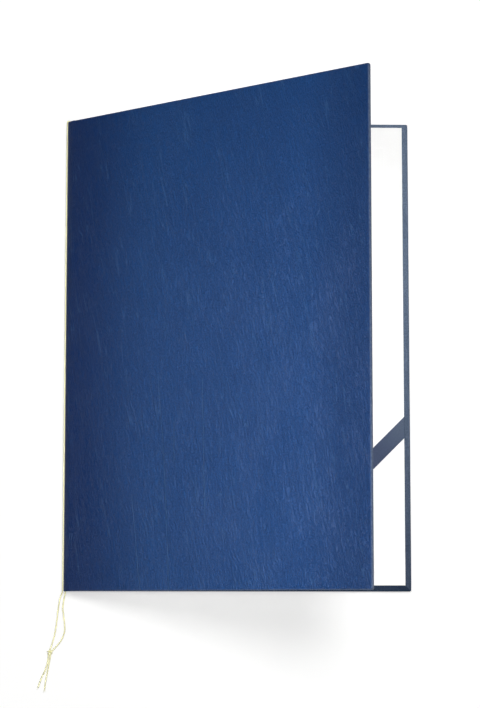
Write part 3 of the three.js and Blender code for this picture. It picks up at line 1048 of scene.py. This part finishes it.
def lining(name, place, head_margin, foot_margin):
    x0, x1 = HINGE_GROOVE + LINING_SPINE_MARGIN, FORE_EDGE - LINING_FORE_EDGE_MARGIN
    y0, y1 = foot_margin - HALF_HEIGHT, HALF_HEIGHT - head_margin
    frame_x0, frame_x1 = HINGE_GROOVE + STRIP_REACH, FORE_EDGE - TURN_IN
    frame_y = HALF_HEIGHT - TURN_IN

    def pressed(x, y):
        inside = min(x - frame_x0, frame_x1 - x, frame_y - abs(y))
        share = min(1, max(0, inside / PRESSED_STEP))
        return LINING_TOP - PRESSED_DEPTH * share * share * (3 - 2 * share)

    def lines(low, high, frame_low, frame_high):
        stretches = (
            (frame_low, RIM_SPACING),
            (frame_low + PRESSED_STEP, PRESSED_SPACING),
            (frame_high - PRESSED_STEP, LINING_SPACING),
            (frame_high, PRESSED_SPACING),
            (high, RIM_SPACING),
        )
        places = [low]
        for end, spacing in stretches:
            places += stations(places[-1], end, spacing)[1:]
        return places

    ys = lines(y0, y1, -frame_y, frame_y)
    sheet = Sheet()
    sheet.patch(
        [
            [(place((x, y, pressed(x, y))), (x * MM, y * MM), 0.0) for y in ys]
            for x in lines(x0, x1, frame_x0, frame_x1)
        ]
    )
    return sheet.piece(name, paper, LINING_THICKNESS)


back_lining = lining("back_lining_paper", on_back, LINING_HEAD_MARGIN, LINING_FOOT_MARGIN)
front_lining = lining("front_lining_paper", on_front, LINING_FOOT_MARGIN, LINING_HEAD_MARGIN)
for piece, body, node in (
    (back_lining, "back_cover", "back_lining"),
    (front_lining, "front_cover", "front_lining"),
):
    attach(piece, body)
    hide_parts(node)

# The corner strap
# A dark blue woven ribbon crosses the foot corner of the back lining and holds the corner of the
# diploma. Its ends are folded down over the lining's edges.
STRAP_WIDTH = 10
STRAP_DISTANCE = 103
STRAP_THICKNESS = 0.25
STRAP_TOP = -0.03
STRAP_LIFT = 0.12
STRAP_COLUMNS = 12
STRAP_ROWS = 40
STRAP_TUCK = -0.5
STRAP_CLEARANCE = 0.03
STRAP_END = 0.2
RIBBON_SHADE = (0.004, 0.014, 0.050, 1)
RIBBON_BLUE = (0.036, 0.064, 0.145, 1)
RIBBON_LIT_END = (0.10, 0.14, 0.20, 1)
LIT_END_STRETCH = (-0.078, -0.045)
RIBBON_RELIEF = 0.00005

ribbon = Finish("woven_ribbon", {"Specular IOR Level": 0.2})
ribbon_place = ribbon.node("ShaderNodeUVMap", {"uv_map": "flat_sheet"}, {})
ribbon_along = ribbon.axis(ribbon_place, 0)
ribbon_across = ribbon.axis(ribbon_place, 1)
RIB_PITCH = 0.42 * MM
THREAD_PITCH = 0.3 * MM
ribs = (ribbon_along * (2 * math.pi / RIB_PITCH)).sine() * 0.5 + 0.5
threads = (ribbon_across * (2 * math.pi / THREAD_PITCH)).sine() * 0.5 + 0.5
ribbon_noise = ribbon.node(
    "ShaderNodeTexNoise", {}, {"Vector": ribbon_place, "Scale": 900.0, "Detail": 3.0}
)
ribbon_tone = ribs * 0.4 + threads * 0.2 + ribbon_noise * 0.4
ribbon_skin = ribbon.mix(RIBBON_SHADE, RIBBON_BLUE, ribbon_tone)
# The ribbon's end at the fore-edge, out from under the front cover, is painted paler: painted light that
# fades out over about three centimetres along the ribbon
lit_end_share = 1 - ribbon_along.between(*LIT_END_STRETCH)
ribbon.feed("Base Color", ribbon.mix(ribbon_skin, RIBBON_LIT_END, lit_end_share * ribbon_tone * 0.9))
ribbon.feed("Roughness", 0.6 - ribs * 0.15)
ribbon.raise_by(ribs * 0.7 + threads * 0.3, RIBBON_RELIEF)

edge_x = FORE_EDGE - LINING_FORE_EDGE_MARGIN
edge_y = LINING_FOOT_MARGIN - HALF_HEIGHT
overhang = STRAP_THICKNESS + STRAP_CLEARANCE
strap = Sheet()
strap_columns = [STRAP_WIDTH * (0.5 - k / STRAP_COLUMNS) for k in range(STRAP_COLUMNS + 1)]


def strap_row(share, turn, drop=0.0):
    """One row across the strap. turn is how far it has bent over an edge, from 0 to 1."""
    row = []
    fold_side = (turn > 0) - (turn < 0)
    for across in strap_columns:
        leg = STRAP_DISTANCE + across * math.sqrt(2)
        angle = math.pi / 2 * abs(turn)
        out = overhang * math.sin(angle)
        along = overhang * angle + drop
        x = edge_x - leg * share
        y = edge_y + leg * (1 - share)
        if turn > 0:
            x, y = x + out, y + along
        elif turn < 0:
            x, y = x - along, y - out
        z = STRAP_TOP - overhang * (1 - math.cos(angle)) - drop
        if not turn:
            z += STRAP_LIFT * 4 * share * (1 - share)
        length = leg * math.sqrt(2)
        used = (share - 0.5) * length - fold_side * along
        row.append((on_back((x, y, max(z, STRAP_TUCK))), (used * MM, across * MM), 0.0))
    return row


strap_rows = [strap_row(0, 1, STRAP_END)]
strap_rows += [strap_row(0, 1 - step / ROUND_STEPS) for step in range(ROUND_STEPS)]
strap_rows += [strap_row(step / STRAP_ROWS, 0) for step in range(STRAP_ROWS + 1)]
strap_rows += [strap_row(1, -step / ROUND_STEPS) for step in range(1, ROUND_STEPS + 1)]
strap_rows += [strap_row(1, -1, STRAP_END)]
strap.patch(strap_rows)
strap_ribbon = strap.piece("strap_ribbon", ribbon, STRAP_THICKNESS)
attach(strap_ribbon, "back_cover")
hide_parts("corner_strap")

# The boards
# Two millimetres of grey bookbinder's board, seen only where the sheet leaves it bare. The solids
# stay as they are and take the board's fibrous finish.
BOARD_SHADE = (0.22, 0.20, 0.17, 1)
BOARD_GREY = (0.42, 0.39, 0.34, 1)
BOARD_RELIEF = 0.0001
board_finish = Finish("greyboard", {"Specular IOR Level": 0.3, "Roughness": 0.95})
board_place = board_finish.node("ShaderNodeTexCoord", {}, {}, 3)
board_fibres = board_finish.node(
    "ShaderNodeTexNoise", {}, {"Vector": board_place, "Scale": 1200.0, "Detail": 5.0, "Roughness": 0.7}
)
board_finish.feed("Base Color", board_finish.mix(BOARD_SHADE, BOARD_GREY, board_fibres))
board_finish.raise_by(board_fibres, BOARD_RELIEF)
for node in ("back_board", "front_board"):
    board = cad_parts[node]
    for material_slot in board.material_slots:
        material_slot.material = board_finish.material
    if not board.material_slots:
        board.data.materials.append(board_finish.material)

# The table and the light
# A plain white table that keeps the cover's soft shadow. A large soft lamp stands at the head, with
# a smaller one beside it that only shines. A low lamp at the fold gives the grain its sheen, and a
# dim lamp above lifts the cover's shaded sides. The room gives the rest.
FLOOR_SIZE = 6
FLOOR_DROP = 0.0003
WORLD_LEVEL = 0.12
KEY_POWER = 15.5
FILL_POWER = 1.6
SIDE_POWER = 3.3
HEAD_POWER = 25
TABLE_GLOW = 0.62
KEY_PLACE, KEY_AIM, KEY_SIZE = (0.28, 0.50, 1.85), (0.05, 0, 0), 0.62
HEAD_PLACE, HEAD_AIM, HEAD_SIZE = (0.32, 0.52, 1.8), (0.05, 0, 0), 0.3
SIDE_PLACE, SIDE_AIM, SIDE_SIZE = (-0.268, -0.03, 0.290), (0.05, -0.03, 0.11), 0.40
SIDE_DEPTH = 0.14
FILL_PLACE, FILL_AIM, FILL_SIZE = (-0.02, -0.12, 0.50), (0.0, 0.0, 0.06), 0.2
TABLE_WHITE = (0.82, 0.82, 0.81, 1)
WHITE = (1, 1, 1, 1)

floor_mesh = bpy.data.meshes.new("floor")
corner_signs = ((-1, -1), (1, -1), (1, 1), (-1, 1))
corners = [(x * FLOOR_SIZE, y * FLOOR_SIZE, -FLOOR_DROP) for x, y in corner_signs]
floor_mesh.from_pydata(corners, [], [(0, 1, 2, 3)])
floor = bpy.data.objects.new("floor", floor_mesh)
bpy.context.scene.collection.objects.link(floor)
table_finish = Finish(
    "table_top",
    {"Base Color": TABLE_WHITE, "Roughness": 0.9, "Specular IOR Level": 0.1},
)
rays = table_finish.tree.nodes.new("ShaderNodeLightPath")
seen = Signal(table_finish, rays.outputs["Is Camera Ray"])
for name in ("Is Glossy Ray", "Is Transmission Ray"):
    seen = seen.higher(Signal(table_finish, rays.outputs[name]))
table_finish.surface.inputs["Emission Color"].default_value = WHITE
table_finish.feed("Emission Strength", seen * TABLE_GLOW)
floor_mesh.materials.append(table_finish.material)
floor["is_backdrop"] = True

world = bpy.data.worlds.new("room")
bpy.context.scene.world = world
world.use_nodes = True
room = world.node_tree
room_light = room.nodes["Background"]
room_light.inputs["Color"].default_value = WHITE
room_light.inputs["Strength"].default_value = WORLD_LEVEL
white_room = room.nodes.new("ShaderNodeBackground")
white_room.inputs["Color"].default_value = WHITE
room_rays = room.nodes.new("ShaderNodeLightPath")
room_mix = room.nodes.new("ShaderNodeMixShader")
room.links.new(room_rays.outputs["Is Camera Ray"], room_mix.inputs["Fac"])
room.links.new(room_light.outputs["Background"], room_mix.inputs[1])
room.links.new(white_room.outputs["Background"], room_mix.inputs[2])
room.links.new(room_mix.outputs["Shader"], room.nodes["World Output"].inputs["Surface"])


def lamp(name, place, aim, size, power):
    """A soft square lamp that looks at a point, in metres and watts."""
    light = bpy.data.lights.new(name, "AREA")
    light.size = size
    light.energy = power
    stand = bpy.data.objects.new(name, light)
    stand.visible_camera = False
    way = Vector(aim) - Vector(place)
    stand.matrix_world = Matrix.Translation(place) @ way.to_track_quat("-Z", "Y").to_matrix().to_4x4()
    bpy.context.scene.collection.objects.link(stand)
    return stand


lamp("key_lamp", KEY_PLACE, KEY_AIM, KEY_SIZE, KEY_POWER)
head_lamp = lamp("head_lamp", HEAD_PLACE, HEAD_AIM, HEAD_SIZE, HEAD_POWER)
head_lamp.visible_diffuse = False
side_lamp = lamp("side_lamp", SIDE_PLACE, SIDE_AIM, SIDE_SIZE, SIDE_POWER)
side_lamp.visible_diffuse = False
side_lamp.data.shape = "RECTANGLE"
side_lamp.data.size_y = SIDE_DEPTH
fill_lamp = lamp("fill_lamp", FILL_PLACE, FILL_AIM, FILL_SIZE, FILL_POWER)
fill_lamp.data.use_shadow = False
lit_pieces = bpy.data.collections.new("lit_by_fill")
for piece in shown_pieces():
    lit_pieces.objects.link(piece)
fill_lamp.light_linking.receiver_collection = lit_pieces

bpy.context.scene.view_settings.view_transform = "Standard"
